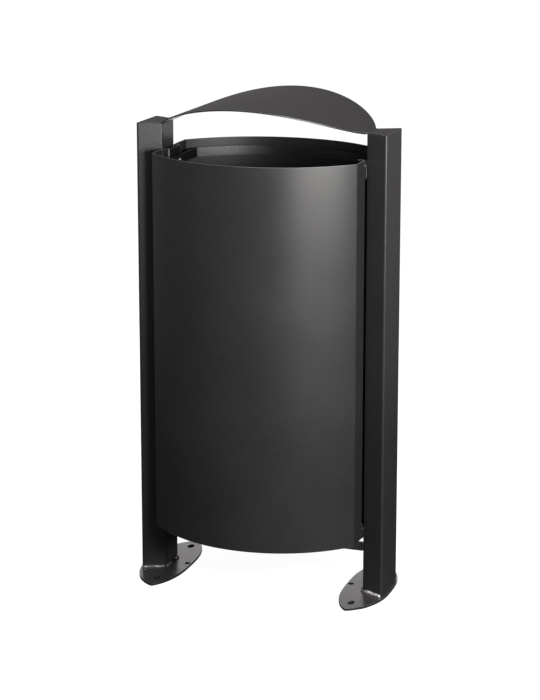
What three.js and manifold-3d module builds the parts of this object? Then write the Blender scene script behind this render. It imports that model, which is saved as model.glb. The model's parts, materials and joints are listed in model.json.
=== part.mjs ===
// Two-post steel litter bin: arched hat, hinged front shell, fixed rear shell, tilting bag ring.
// Millimetres, +Z up. The origin is on the ground, midway between the posts; the door faces -Y.
import * as THREE from "three";
import { mergeVertices } from "three/addons/utils/BufferGeometryUtils.js";
import Module from "manifold-3d";

const wasm = await Module();
wasm.setup();

// ---- driving dimensions ----
const GAP = 0.3; // left between pieces that touch
const PAST = 5; // how far a cutting tool runs past the piece that it cuts
const HEIGHT = 1000; // top of the posts' caps
const SHEET = 2.5; // shells, brackets, bottom plate

const POST_IN = 226.5; // inner face of a post, from the middle plane
const POST_W = 50; // a post's width, along X
const POST_LI = 67; // depth of a post's inner face
const POST_LO = 117; // depth of a post's outer face, between sharp corners
const POST_WALL = 3;
const POST_BEND = 4; // outside radius of a post's folds

const PLATE_T = 5;
const PLATE_TIP_X = 220;
const PLATE_HALF = 142; // half length along Y
const PLATE_IN = 38.5; // bulge of the plate towards the middle
const PLATE_OUT = 63; // bulge of the plate outwards
const PLATE_FULLNESS = 2.8; // an ellipse has 2 here
const PLATE_POINT = 0.79; // and 0.5 here; a larger value makes the tips more pointed
const ANCHOR_X = 190.5; // round anchor hole, on the middle line
const ANCHOR_R = 6.5;
const SLOT_X = 222;
const SLOT_Y = 104;
const SLOT_HALF = 5; // from a slot's centre to the centre of its round end

const HAT_T = 3;
const HAT_RISE = 59.5;
const HAT_BEND = 14; // fold between the arch and the flat ends
const HAT_HALF = 202; // half depth of the hat at the middle

const SHELL_X = 225; // outer face of the side flanges
const SHELL_CORNER = 95; // depth of the fold between flange and panel
const SHELL_BULGE = 106; // rise of the curved panel beyond the folds
const SHELL_Z0 = 127;
const SHELL_Z1 = 945;
const SHELL_BEND = 5;
const LIP_X = 210; // free edge of the return lips
const DOOR_LIP_Y = 37.5; // back of the front shell's lips
const REAR_LIP_Y = 33.8; // front of the rear shell's lips

const BRACKET_WEB = 209.5; // inner face of the brackets
const BRACKET_LEG = 33.5; // outer face of the bracket's legs
const BRACKET_BEND = 4;
const BRACKET_H = 26;
const BRACKET_TALL = 40; // the upper bracket that has no hinge tab over it
const BRACKET_LOW_Z = 137; // mid height
const BRACKET_TOP_Z = 917;
const FLOOR_SCREW_Z = 142;

const RAIL = { h: 20, t: 5, z0: 96, y: -34 };
const BUMPER_R = 6;

const HINGE_X = 220;
const HINGE_Y = -38;
const BARREL_R = 4.2;
const HINGE_PIN_R = 2.5;
const HINGE_HOLE_R = 2.9;
const BARREL_Z = 136.5; // joint between the fixed barrel and the door's barrel
const BARREL_H = 11.5;
const TAB_Z = 930.3; // underside of the fixed upper tab
const TAB_T = 3;
const TAB_R = 5.5;
const DOOR_TAB_R = 5;
const TAB_BACK = -19.5; // rear edge of the fixed tab
const NOTCH_FRONT = 6; // the door's hinge notches run this far in front of the axis
const NOTCH_Z = 160.5; // top of the lower notch
const NOTCH_CLEAR = 5; // upper notch, above and below the tabs
const LEAF = { t: 3, w: 32, gap: 2 }; // door's lower leaf; gap is from its edge to the axis
const ARM = { w: 15, long: 28.5, gap: 7.5, neck: 4 }; // door's upper arm, and the neck to its eye
const PIN_HEAD_H = 2.7;
const PIN_TAIL = 2; // a pin's end past its last eye

const RING_X = 203; // outer face of the bag ring's sides
const RING_Y = 188.5; // outer face of the bag ring at the middle of its arcs
const RING_T = 3;
const RING_H = 20;
const RING_LIP = 4; // the lip turned outwards at the ring's lower edge
const RING_BEND = 10;
const RING_HOLE_R = 3.5;
const SPACER_R = 7;

const FLOOR_X = 202; // half width of the bottom plate
const FLOOR_CLEAR = 3.5; // bottom plate to shells
const FLOOR_Z = 133;
const FLOOR_EAR = 26; // half width of the ears
const FLOOR_EAR_Z = 150; // top of the ears
const DRAIN_R = 6;
const DRAIN_PITCH = 70;

const SCREW_R = 2.5; // M5
const SCREW_HEAD_R = 4.75;
const SCREW_HEAD_H = 2.8;
const SOCKET_R = 2.1;
const SOCKET_DEPTH = 2;
const NUT_R = 4.62;
const NUT_H = 4;
const SCREW_X = 216.8; // rear shell's screws
const SCREW_LENGTH = { shell: 17, floor: 16, ring: 21 };

const LOCK_Y = -68;
const LOCK_Z = 620;
const LOCK_R = 8;
const LOCK_LENGTH = 13;
const LOCK_HEAD = { r: 11, t: 2.2, cup: 7 };
const LOCK_NUT = { r: 12, t: 5 };
const CORE_R = 5;
const CORE_SINK = 1.3; // from the head's back to the core's front
const CORE_NECK_R = 3;
const KEY = { r: 4.4, proud: 1.2, sink: 2 }; // triangular end for the key
const CAM_X = -208; // outer face of the hook cam
const CAM_T = 3;
const CAM_EYE_R = 9;
const CAM_MOUTH_R = 5;
const CAM_REACH = 48; // lock axis to strike pin
const CAM_SCREW = { r: 1.5, hole: 1.8, headR: 5, headT: 2.5, sink: 2 };
const STRIKE_R = 4;
const STRIKE_PROUD = 3; // strike pin's end past the cam

const SLICES = 24; // flats of a small round

// ---- materials ----
function steel(color, roughness, metalness) {
  return new THREE.MeshStandardMaterial({ color, roughness, metalness });
}

const paint = steel(0x3f3d3f, 0.55, 0.5);
const paintLight = steel(0x6a6869, 0.55, 0.5);
const zinc = steel(0xa9abad, 0.35, 0.9);
const stainless = steel(0xb9babb, 0.3, 1.0);
const rubber = steel(0x18181a, 0.9, 0.0);
const nylon = steel(0x2a2a2c, 0.7, 0.0);

// ---- solids ----
function solidOf(geometry) {
  const bare = geometry.clone();
  bare.deleteAttribute("normal");
  bare.deleteAttribute("uv");
  const merged = mergeVertices(bare, 1e-4);
  const mesh = new wasm.Mesh({
    numProp: 3,
    vertProperties: new Float32Array(merged.attributes.position.array),
    triVerts: new Uint32Array(merged.index.array),
  });
  return new wasm.Manifold(mesh);
}

function geometryOf(solid) {
  const mesh = solid.getMesh();
  const geometry = new THREE.BufferGeometry();
  geometry.setAttribute("position", new THREE.BufferAttribute(mesh.vertProperties, 3));
  geometry.setIndex(new THREE.BufferAttribute(mesh.triVerts, 1));
  return geometry;
}

const less = (rest, tool) => rest.subtract(solidOf(tool));
const cut = (body, ...tools) => geometryOf(tools.reduce(less, solidOf(body)));
const join = (...bodies) => geometryOf(bodies.map(solidOf).reduce((whole, body) => whole.add(body)));
const common = (a, b) => geometryOf(solidOf(a).intersect(solidOf(b)));

function box(x0, x1, y0, y1, z0, z1) {
  const geometry = new THREE.BoxGeometry(Math.abs(x1 - x0), y1 - y0, z1 - z0);
  return geometry.translate((x0 + x1) / 2, (y0 + y1) / 2, (z0 + z1) / 2);
}

// A round bar between two points on a line along one axis.
function rod(axis, centre, from, to, radius, slices = SLICES) {
  const geometry = new THREE.CylinderGeometry(radius, radius, Math.abs(to - from), slices);
  if (axis === "x") geometry.rotateZ(Math.PI / 2);
  if (axis === "z") geometry.rotateX(Math.PI / 2);
  const middle = (from + to) / 2;
  if (axis === "x") return geometry.translate(middle, centre[0], centre[1]);
  if (axis === "y") return geometry.translate(centre[0], middle, centre[1]);
  return geometry.translate(centre[0], centre[1], middle);
}

// ---- outlines ----
const point = (x, y) => new THREE.Vector2(x, y);
const corner = (x, y, r = 0) => Object.assign(point(x, y), { r });
const flipX = (points) => points.map((p) => corner(-p.x, p.y, p.r)).reverse();
const flipY = (points) => points.map((p) => corner(p.x, -p.y, p.r)).reverse();

// Points of an arc that runs from +halfChord to -halfChord at depth -y0 and bulges to -(y0 + sagitta).
function bulge(halfChord, y0, sagitta, steps) {
  const radius = (halfChord ** 2 + sagitta ** 2) / (2 * sagitta);
  const end = Math.asin(halfChord / radius);
  const points = [];
  for (let i = 0; i <= steps; i++) {
    const angle = end - (2 * end * i) / steps;
    points.push(corner(radius * Math.sin(angle), radius - y0 - sagitta - radius * Math.cos(angle)));
  }
  return points;
}

// Replaces each corner that has a radius by a tangent arc.
function rounded(corners, closed = false, steps = 5) {
  return corners.flatMap((at, i) => {
    const isEnd = !closed && (i === 0 || i === corners.length - 1);
    if (!at.r || isEnd) return [point(at.x, at.y)];
    const before = corners.at(i - 1).clone().sub(at).normalize();
    const after = corners[(i + 1) % corners.length].clone().sub(at).normalize();
    const half = Math.acos(THREE.MathUtils.clamp(before.dot(after), -1, 1)) / 2;
    const centre = before.clone().add(after).normalize().multiplyScalar(at.r / Math.sin(half)).add(at);
    const start = before.multiplyScalar(at.r / Math.tan(half)).add(at).sub(centre);
    const stop = after.multiplyScalar(at.r / Math.tan(half)).add(at).sub(centre);
    const sweep = Math.atan2(start.cross(stop), start.dot(stop));
    const turned = (k) => start.clone().rotateAround(point(0, 0), (sweep * k) / steps).add(centre);
    return Array.from({ length: steps + 1 }, (_, k) => turned(k));
  });
}

// The same path moved sideways, to the left of its direction.
function offset(path, distance, closed = false) {
  const last = path.length - 1;
  return path.map((at, i) => {
    const before = path[i > 0 ? i - 1 : closed ? last : 0];
    const after = path[i < last ? i + 1 : closed ? 0 : last];
    const a = at.clone().sub(before).normalize();
    const b = after.clone().sub(at).normalize();
    const tangent = a.clone().add(b).normalize();
    const along = a.length() ? a : b;
    const stretch = distance / tangent.dot(along);
    return point(at.x - tangent.y * stretch, at.y + tangent.x * stretch);
  });
}

const strip = (path, thickness) => [...path, ...offset(path, thickness).reverse()];

function arc(x, y, radius, from, to, steps) {
  return Array.from({ length: steps + 1 }, (_, i) => {
    const angle = from + ((to - from) * i) / steps;
    return point(x + radius * Math.cos(angle), y + radius * Math.sin(angle));
  });
}

const round = (x, y, radius, slices = SLICES) => arc(x, y, radius, 0, 2 * Math.PI, slices).slice(1);

// An upright prism over an outline in the XY plane.
function prism(outline, z0, z1, holes = []) {
  const isClockwise = THREE.ShapeUtils.isClockWise(outline);
  const shape = new THREE.Shape(isClockwise ? [...outline].reverse() : outline);
  holes.forEach((hole) => shape.holes.push(new THREE.Path(hole)));
  return new THREE.ExtrudeGeometry(shape, { depth: z1 - z0, bevelEnabled: false }).translate(0, 0, z0);
}

// A prism over an outline in the YZ plane, from x0 to x1.
function prismX(outline, x0, x1, holes) {
  return prism(outline, x0, x1, holes).rotateZ(Math.PI / 2).rotateY(Math.PI / 2);
}

// ---- scene ----
const bin = new THREE.Group();
function add(name, geometry, material) {
  const mesh = new THREE.Mesh(geometry, material);
  mesh.name = name;
  bin.add(mesh);
}

const sides = [
  { name: "left", sign: -1 },
  { name: "right", sign: 1 },
];
const levels = [
  { name: "upper", z: BRACKET_TOP_Z, boltZ: BRACKET_TOP_Z, height: { left: BRACKET_TALL, right: BRACKET_H } },
  { name: "lower", z: BRACKET_LOW_Z, boltZ: FLOOR_SCREW_Z, height: { left: BRACKET_H, right: BRACKET_H } },
];

// ---- posts and plates ----
function postCorners() {
  const out = POST_IN + POST_W;
  return [
    corner(POST_IN, -POST_LI / 2, POST_BEND),
    corner(out, -POST_LO / 2, POST_BEND),
    corner(out, POST_LO / 2, POST_BEND),
    corner(POST_IN, POST_LI / 2, POST_BEND),
  ];
}

function post(sign) {
  const outer = rounded(sign > 0 ? postCorners() : flipX(postCorners()), true);
  return prism(outer, PLATE_T + GAP, HEIGHT - HAT_T - GAP, [offset(outer, POST_WALL, true)]);
}

// One long side of a base plate, from one tip almost to the other.
function plateSide(bulgeX, steps = 28) {
  return Array.from({ length: steps }, (_, i) => {
    const along = -Math.cos((Math.PI * i) / steps);
    const out = bulgeX * (1 - Math.abs(along) ** PLATE_FULLNESS) ** PLATE_POINT;
    return corner(PLATE_TIP_X + out, PLATE_HALF * along);
  });
}

function slot(x, y, steps = 12) {
  const far = arc(x, y + SLOT_HALF, ANCHOR_R, 0, Math.PI, steps);
  const near = arc(x, y - SLOT_HALF, ANCHOR_R, Math.PI, 2 * Math.PI, steps);
  return [...far, ...near];
}

function basePlate(sign) {
  const outline = [...plateSide(PLATE_OUT), ...plateSide(-PLATE_IN).map((p) => corner(p.x, -p.y))];
  const holes = [round(sign * ANCHOR_X, 0, ANCHOR_R)];
  [-SLOT_Y, SLOT_Y].forEach((y) => holes.push(slot(sign * SLOT_X, y)));
  return prism(sign > 0 ? outline : flipX(outline), 0, PLATE_T, holes);
}

// ---- hat ----
function hat() {
  const out = POST_IN + POST_W;
  const steps = 40;
  const arch = bulge(POST_IN, 0, HAT_RISE, steps).map((p) => corner(p.x, HEIGHT - p.y));
  arch[0].r = HAT_BEND;
  arch[steps].r = HAT_BEND;
  const profile = strip(rounded([corner(out + PAST, HEIGHT), ...arch, corner(-out - PAST, HEIGHT)]), HAT_T);
  const band = prism(profile, -HAT_HALF - PAST, HAT_HALF + PAST).rotateX(Math.PI / 2);
  const front = bulge(POST_IN, POST_LI / 2, HAT_HALF - POST_LI / 2, steps);
  const capFront = corner(out, -POST_LO / 2, POST_BEND);
  const half = [capFront, ...front, ...flipX([capFront])];
  const plan = rounded([...half, ...flipY(half)], true);
  return common(band, prism(plan, HEIGHT - HAT_RISE, HEIGHT + 2 * HAT_RISE));
}

// ---- shells ----
function shellPath(lipY, steps = 44) {
  const panel = bulge(SHELL_X, SHELL_CORNER, SHELL_BULGE, steps);
  panel[0].r = SHELL_BEND;
  panel[steps].r = SHELL_BEND;
  return rounded([
    corner(LIP_X, -lipY),
    corner(SHELL_X, -lipY, SHELL_BEND - 1),
    ...panel,
    corner(-SHELL_X, -lipY, SHELL_BEND - 1),
    corner(-LIP_X, -lipY),
  ]);
}

function frontShell() {
  const shell = prism(strip(shellPath(DOOR_LIP_Y), -SHEET), SHELL_Z0, SHELL_Z1);
  const notch = (z0, z1) => box(LIP_X - PAST, SHELL_X + PAST, HINGE_Y - NOTCH_FRONT, HINGE_Y + PAST, z0, z1);
  const low = notch(SHELL_Z0 - PAST, NOTCH_Z);
  const high = notch(TAB_Z - NOTCH_CLEAR, TAB_Z + 2 * TAB_T + NOTCH_CLEAR);
  const lockHole = rod("x", [LOCK_Y, LOCK_Z], -SHELL_X - PAST, -SHELL_X + PAST, LOCK_R + GAP);
  return cut(shell, low, high, lockHole);
}

function rearShell() {
  const shell = prism(strip(flipY(shellPath(REAR_LIP_Y)), -SHEET), SHELL_Z0, SHELL_Z1);
  const places = sides.flatMap(({ sign }) => levels.map(({ z }) => [sign * SCREW_X, z]));
  return cut(shell, ...places.map((at) => screwHole("y", at, REAR_LIP_Y)));
}

// A hole for a screw, through the sheet at this distance along the axis.
const screwHole = (axis, at, sheet) => rod(axis, at, sheet - PAST, sheet + PAST, SCREW_R + GAP);

// ---- brackets, rail, bottom plate ----
function bracket(sign, { z, boltZ }, height) {
  const reach = POST_IN - GAP;
  const path = rounded([
    corner(reach, -BRACKET_LEG),
    corner(BRACKET_WEB, -BRACKET_LEG, BRACKET_BEND),
    corner(BRACKET_WEB, BRACKET_LEG, BRACKET_BEND),
    corner(reach, BRACKET_LEG),
  ]);
  const outline = strip(path, -SHEET);
  const foot = z - BRACKET_H / 2;
  const body = prism(sign > 0 ? outline : flipX(outline), foot, foot + height);
  const sideHole = screwHole("x", [0, boltZ], sign * BRACKET_WEB);
  const rearHole = screwHole("y", [sign * SCREW_X, z], BRACKET_LEG);
  return cut(body, sideHole, rearHole);
}

function lowerRail() {
  const end = POST_IN - GAP;
  return box(-end, end, RAIL.y, RAIL.y + RAIL.t, RAIL.z0, RAIL.z0 + RAIL.h);
}

function bottomPlate() {
  const radius = (SHELL_X ** 2 + SHELL_BULGE ** 2) / (2 * SHELL_BULGE);
  const inner = radius - SHEET - FLOOR_CLEAR;
  const centre = radius - SHELL_CORNER - SHELL_BULGE;
  const edge = Math.sqrt(inner ** 2 - FLOOR_X ** 2) - centre;
  const front = bulge(FLOOR_X, edge, inner - centre - edge, 36);
  const ear = BRACKET_WEB - GAP;
  const tab = [corner(-FLOOR_X, -FLOOR_EAR), corner(-ear, -FLOOR_EAR)];
  const left = [...tab, ...flipY(tab)];
  const outline = [...front, ...left, ...flipY(front), ...flipX(left)];
  const drain = (i, j) => round(i * DRAIN_PITCH, j * DRAIN_PITCH, DRAIN_R, SLICES / 2);
  const drains = [-2, -1, 0, 1, 2].flatMap((i) => [-1, 0, 1].map((j) => drain(i, j)));
  const plate = prism(outline, FLOOR_Z, FLOOR_Z + SHEET, drains);
  const ears = sides.map(({ sign }) =>
    box(sign * (ear - SHEET), sign * ear, -FLOOR_EAR, FLOOR_EAR, FLOOR_Z + SHEET / 2, FLOOR_EAR_Z),
  );
  const holes = sides.map(({ sign }) => screwHole("x", [0, FLOOR_SCREW_Z], sign * ear));
  return cut(join(plate, ...ears), ...holes);
}

// ---- fasteners: a button-head screw along X or Y whose head's back is at `seat` ----
function screw(axis, centre, seat, direction, length) {
  const top = seat - direction * SCREW_HEAD_H;
  const head = rod(axis, centre, seat, top, SCREW_HEAD_R);
  const shank = rod(axis, centre, (seat + top) / 2, seat + direction * length, SCREW_R);
  const socket = rod(axis, centre, top + direction * SOCKET_DEPTH, top - direction * PAST, SOCKET_R, 6);
  return cut(join(head, shank), socket);
}

function nut(axis, centre, face, direction) {
  const body = rod(axis, centre, face, face + direction * NUT_H, NUT_R, 6);
  return cut(body, rod(axis, centre, face - PAST, face + PAST, SCREW_R + GAP));
}

function addFasteners() {
  const rearSeat = REAR_LIP_Y + SHEET + GAP;
  sides.forEach(({ name, sign }) => {
    levels.forEach((level) => {
      const centre = [sign * SCREW_X, level.z];
      add(`rear_screw_${level.name}_${name}`, screw("y", centre, rearSeat, -1, SCREW_LENGTH.shell), zinc);
      add(`rear_nut_${level.name}_${name}`, nut("y", centre, BRACKET_LEG - SHEET - GAP, -1), zinc);
    });
    const low = [0, FLOOR_SCREW_Z];
    const earFace = BRACKET_WEB - GAP - SHEET - GAP;
    add(`floor_screw_${name}`, screw("x", low, sign * earFace, sign, SCREW_LENGTH.floor), zinc);
    add(`floor_nut_${name}`, nut("x", low, sign * (BRACKET_WEB + SHEET + GAP), sign), zinc);
  });
}

// ---- bag ring ----
function ringPath(grow) {
  const shellRadius = (SHELL_X ** 2 + SHELL_BULGE ** 2) / (2 * SHELL_BULGE);
  const centre = shellRadius - SHELL_CORNER - SHELL_BULGE;
  const radius = RING_Y + centre + grow;
  const x = RING_X + grow;
  const edge = Math.sqrt(radius ** 2 - x ** 2) - centre;
  const steps = 32;
  const front = bulge(x, edge, radius - centre - edge, steps);
  front[0].r = RING_BEND;
  front[steps].r = RING_BEND;
  return rounded([...front, ...flipY(front)], true);
}

function bagRing() {
  const z0 = BRACKET_TOP_Z - RING_H / 2;
  const inner = offset(ringPath(0), -RING_T, true);
  const band = prism(ringPath(0), z0, z0 + RING_H, [inner]);
  const lip = prism(ringPath(RING_LIP), z0, z0 + RING_T, [inner]);
  const beyond = RING_X + RING_LIP + PAST;
  const top = z0 + RING_H;
  const clear = sides.map(({ sign }) => box(sign * RING_X, sign * beyond, -RING_Y, RING_Y, z0 - PAST, top));
  const pivots = sides.map(({ sign }) =>
    rod("x", [0, BRACKET_TOP_Z], sign * (RING_X - PAST), sign * (RING_X + PAST), RING_HOLE_R),
  );
  return cut(join(band, lip), ...clear, ...pivots);
}

function addBagRing() {
  add("bag_ring", bagRing(), paint);
  sides.forEach(({ name, sign }) => {
    const centre = [0, BRACKET_TOP_Z];
    const seat = sign * (RING_X - RING_T - GAP);
    const spacer = rod("x", centre, sign * (RING_X + GAP), sign * (BRACKET_WEB - GAP), SPACER_R);
    const bore = rod("x", centre, sign * RING_X, sign * BRACKET_WEB, SCREW_R + GAP);
    add(`ring_spacer_${name}`, cut(spacer, bore), nylon);
    add(`ring_screw_${name}`, screw("x", centre, seat, sign, SCREW_LENGTH.ring), stainless);
    add(`ring_nut_${name}`, nut("x", centre, sign * (BRACKET_WEB + SHEET + GAP), sign), zinc);
  });
}

// ---- door hinges ----
const HINGE_AXIS = [HINGE_X, HINGE_Y];
const HINGE_SEAT = SHELL_X - SHEET - GAP; // outer face of what is fixed inside the door's flange

function hingeKnuckle(z0, z1, radius, ...arms) {
  const eye = rod("z", HINGE_AXIS, z0, z1, radius);
  return cut(join(eye, ...arms), rod("z", HINGE_AXIS, z0 - PAST, z1 + PAST, HINGE_HOLE_R));
}

// A pin whose head stands between `head` and `neck`, and whose other end is at `tail`.
function hingePin(head, neck, tail) {
  const [low, high] = [head, neck].sort((a, b) => a - b);
  const cap = rod("z", HINGE_AXIS, low, high, BARREL_R - GAP);
  return join(cap, rod("z", HINGE_AXIS, (low + high) / 2, tail, HINGE_PIN_R));
}

function addLowerHinge() {
  const low = BARREL_Z - BARREL_H;
  const high = BARREL_Z + BARREL_H;
  add("hinge_barrel_fixed", hingeKnuckle(low, BARREL_Z - GAP / 2, BARREL_R), paint);

  const z0 = BARREL_Z + GAP;
  const edge = HINGE_Y - LEAF.gap;
  const leaf = box(HINGE_SEAT - LEAF.t, HINGE_SEAT, edge - LEAF.w, edge, z0, high);
  add("hinge_barrel_door", hingeKnuckle(z0, high, BARREL_R, leaf), paint);
  add("hinge_pin_lower", hingePin(low - GAP - PIN_HEAD_H, low - GAP, high + PIN_TAIL), zinc);
}

function addUpperHinge() {
  const arm = box(LIP_X + TAB_T, POST_IN - GAP, HINGE_Y, TAB_BACK, TAB_Z, TAB_Z + TAB_T);
  add("hinge_tab_fixed", hingeKnuckle(TAB_Z, TAB_Z + TAB_T, TAB_R, arm), paint);

  const z0 = TAB_Z + TAB_T + GAP;
  const z1 = z0 + TAB_T;
  const edge = HINGE_Y - ARM.gap;
  const doorArm = box(HINGE_SEAT - ARM.w, HINGE_SEAT, edge - ARM.long, edge, z0, z1);
  const neck = box(HINGE_X - ARM.neck, HINGE_SEAT, edge - GAP, HINGE_Y, z0, z1);
  add("hinge_tab_door", hingeKnuckle(z0, z1, DOOR_TAB_R, doorArm, neck), paint);
  add("hinge_pin_upper", hingePin(z1 + GAP + PIN_HEAD_H, z1 + GAP, TAB_Z - PIN_TAIL), zinc);
}

// ---- lock ----
function camOutline() {
  const eye = arc(0, 0, CAM_EYE_R, 0, Math.PI, 8);
  const back = [point(-9, -34), point(-12, -40), point(-12, -56), point(-8, -60)];
  const tip = [point(4, -60), point(8, -56)];
  const mouth = arc(0, -CAM_REACH, CAM_MOUTH_R, 1.5 * Math.PI, 0.5 * Math.PI, 8);
  const below = point(8, -CAM_REACH - CAM_MOUTH_R);
  const above = point(8, -CAM_REACH + CAM_MOUTH_R);
  const outline = [...eye, ...back, ...tip, below, ...mouth, above, point(8, -36)];
  return outline.map((p) => point(p.x + LOCK_Y, p.y + LOCK_Z));
}

function addLock() {
  const turned = (from, to, radius, slices) => rod("x", [LOCK_Y, LOCK_Z], from, to, radius, slices);
  const face = -SHELL_X - GAP;
  const head = turned(face, face - LOCK_HEAD.t, LOCK_HEAD.r, 32);
  const barrel = turned(face - LOCK_HEAD.t / 2, face + LOCK_LENGTH, LOCK_R);
  const cup = turned(face - PAST, face + 1, LOCK_HEAD.cup);
  const bore = turned(face - PAST, face + LOCK_LENGTH + PAST, CORE_R + GAP);
  add("lock_housing", cut(join(head, barrel), cup, bore), stainless);

  const nutFace = -SHELL_X + SHEET + GAP;
  const nutEnd = nutFace + LOCK_NUT.t;
  const nutBore = turned(nutFace - PAST, nutEnd + PAST, LOCK_R + GAP);
  add("lock_nut", cut(turned(nutFace, nutEnd, LOCK_NUT.r, 6), nutBore), zinc);

  const camEnd = CAM_X + CAM_T;
  const core = turned(face + CORE_SINK, CAM_X - GAP, CORE_R);
  const key = turned(face - KEY.proud, face + KEY.sink, KEY.r, 3);
  const neck = turned(CAM_X - 1, camEnd + GAP, CORE_NECK_R);
  const thread = turned(CAM_X - CAM_SCREW.sink - 1, camEnd + PAST, CAM_SCREW.hole, SLICES / 2);
  add("lock_core", cut(join(core, key, neck), thread), stainless);
  add("lock_cam", prismX(camOutline(), CAM_X, camEnd, [round(LOCK_Y, LOCK_Z, CORE_NECK_R + GAP)]), zinc);

  const seat = camEnd + 2 * GAP;
  const camHead = turned(seat, seat + CAM_SCREW.headT, CAM_SCREW.headR);
  const camShank = turned(CAM_X - CAM_SCREW.sink, seat + 1, CAM_SCREW.r, SLICES / 2);
  add("lock_cam_screw", join(camHead, camShank), zinc);

  const strikeAt = [LOCK_Y + CAM_REACH, LOCK_Z];
  add("lock_strike_pin", rod("x", strikeAt, -POST_IN + GAP, camEnd + STRIKE_PROUD, STRIKE_R), zinc);
}

function addBumpers() {
  levels.forEach(({ name, z }) => {
    const pad = rod("y", [-SCREW_X, z], -BRACKET_LEG - GAP, -DOOR_LIP_Y + GAP, BUMPER_R);
    add(`door_bumper_${name}`, pad, rubber);
  });
}

// ---- assembly ----
sides.forEach(({ name, sign }) => {
  add(`base_plate_${name}`, basePlate(sign), paintLight);
  add(`post_${name}`, post(sign), paint);
  levels.forEach((level) => {
    add(`bracket_${level.name}_${name}`, bracket(sign, level, level.height[name]), paint);
  });
});
add("hat", hat(), paint);
add("lower_rail", lowerRail(), paint);
add("rear_shell", rearShell(), paint);
add("bottom_plate", bottomPlate(), paint);
add("front_shell", frontShell(), paint);
addFasteners();
addBagRing();
addLowerHinge();
addUpperHinge();
addLock();
addBumpers();

export default bin;
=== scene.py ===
"""A two-post steel litter bin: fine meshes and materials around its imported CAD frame."""

import json
import math
import random

import bmesh
import bpy
from mathutils import Matrix, Vector, geometry


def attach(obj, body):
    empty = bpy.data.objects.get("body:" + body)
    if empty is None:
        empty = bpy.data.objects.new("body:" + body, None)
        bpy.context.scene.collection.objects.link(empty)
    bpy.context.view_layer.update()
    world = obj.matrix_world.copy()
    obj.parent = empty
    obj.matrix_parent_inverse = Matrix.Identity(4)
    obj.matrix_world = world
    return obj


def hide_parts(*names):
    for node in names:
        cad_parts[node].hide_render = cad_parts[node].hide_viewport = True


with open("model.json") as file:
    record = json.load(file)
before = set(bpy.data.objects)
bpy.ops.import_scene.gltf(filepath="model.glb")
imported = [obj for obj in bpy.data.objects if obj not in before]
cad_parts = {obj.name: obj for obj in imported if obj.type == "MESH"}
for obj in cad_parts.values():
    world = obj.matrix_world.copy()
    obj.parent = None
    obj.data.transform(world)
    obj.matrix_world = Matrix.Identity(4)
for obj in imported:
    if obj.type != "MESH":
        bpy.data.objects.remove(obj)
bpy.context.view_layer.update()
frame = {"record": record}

# ---- driving dimensions, in millimetres, in the CAD's own frame ----
MM = 0.001
SEAM = 0.3  # the gap that separate pieces keep
TOP = 1000.0
SHEET = 2.5

POST_IN, POST_W = 226.5, 50.0
POST_HALF_IN, POST_HALF_OUT = 33.5, 58.5
POST_WALL, POST_BEND = 3.0, 4.0

PLATE_T = 5.0
PLATE_TIP_X, PLATE_HALF = 220.0, 142.0
PLATE_IN, PLATE_OUT = 38.5, 63.0
PLATE_FULLNESS, PLATE_POINT = 2.8, 0.79  # an ellipse has 2 and 0.5
ANCHOR_X, ANCHOR_R = 190.5, 6.5
SLOT_X, SLOT_Y, SLOT_HALF = 222.0, 104.0, 5.0

HAT_T, HAT_RISE, HAT_HALF = 3.0, 59.5, 202.0

SHELL_X, SHELL_CORNER, SHELL_BULGE = 225.0, 95.0, 106.0
SHELL_Z0, SHELL_Z1 = 127.0, 945.0
LIP_X, DOOR_LIP_Y, REAR_LIP_Y = 210.0, 37.5, 33.8

WEB, LEG = 209.5, 33.5  # brackets: inner face of the web, outer face of the legs
LEVELS = {"upper": 917.0, "lower": 137.0}
BRACKET_H, BRACKET_TALL = 26.0, 40.0  # the tall one has no hinge tab over it
FLOOR_SCREW_Z = 142.0
SIDES = {"left": -1, "right": 1}

HINGE = Vector((220.0, -38.0))
BARREL_Z, BARREL_H, BARREL_R = 136.5, 11.5, 4.2
TAB_Z, TAB_T, TAB_R = 930.3, 3.0, 5.5
PIN_R, PIN_HOLE_R, PIN_TAIL, PIN_HEAD = 2.5, 2.9, 2.0, 3.0

RING_X, RING_Y, RING_T, RING_H, RING_LIP = 203.0, 188.5, 3.0, 20.0, 4.0
FLOOR_X, FLOOR_Z, FLOOR_CLEAR, FLOOR_EAR = 202.0, 133.0, 3.5, 26.0
DRAIN_R, DRAIN_PITCH = 6, 70
RAIL_FRONT, RAIL_BACK, RAIL_Z0, RAIL_Z1 = -34, -29, 96, 116

SCREW_R, HEAD_R, HEAD_H = 2.5, 4.75, 2.8
SCREW_HOLE_R, SOCKET_RIM = 2.8, 2.6
NUT_R, NUT_H = 4.62, 4.0
SCREW_X = 216.8

LOCK = Vector((-68.0, 620.0))  # in the YZ plane
LOCK_HOLE_R, LOCK_NUT_R, KEY_R = 8.3, 12, 4.4
CAM_X, CAM_T, CAM_REACH, STRIKE_R = -208.0, 3.0, 48.0, 4.0


# ---- outlines ----
def flip_x(points):
    return [(-p[0], *p[1:]) for p in reversed(points)]


def flip_y(points):
    return [(p[0], -p[1], *p[2:]) for p in reversed(points)]


def bulge(half_chord, y0, sagitta, steps=72):
    """An arc from +half_chord to -half_chord at depth -y0 that bulges to -(y0 + sagitta)."""
    radius = (half_chord**2 + sagitta**2) / (2 * sagitta)
    end = math.asin(half_chord / radius)
    centre = radius - y0 - sagitta
    angles = (end - 2 * end * i / steps for i in range(steps + 1))
    return [(radius * math.sin(a), centre - radius * math.cos(a)) for a in angles]


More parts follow.
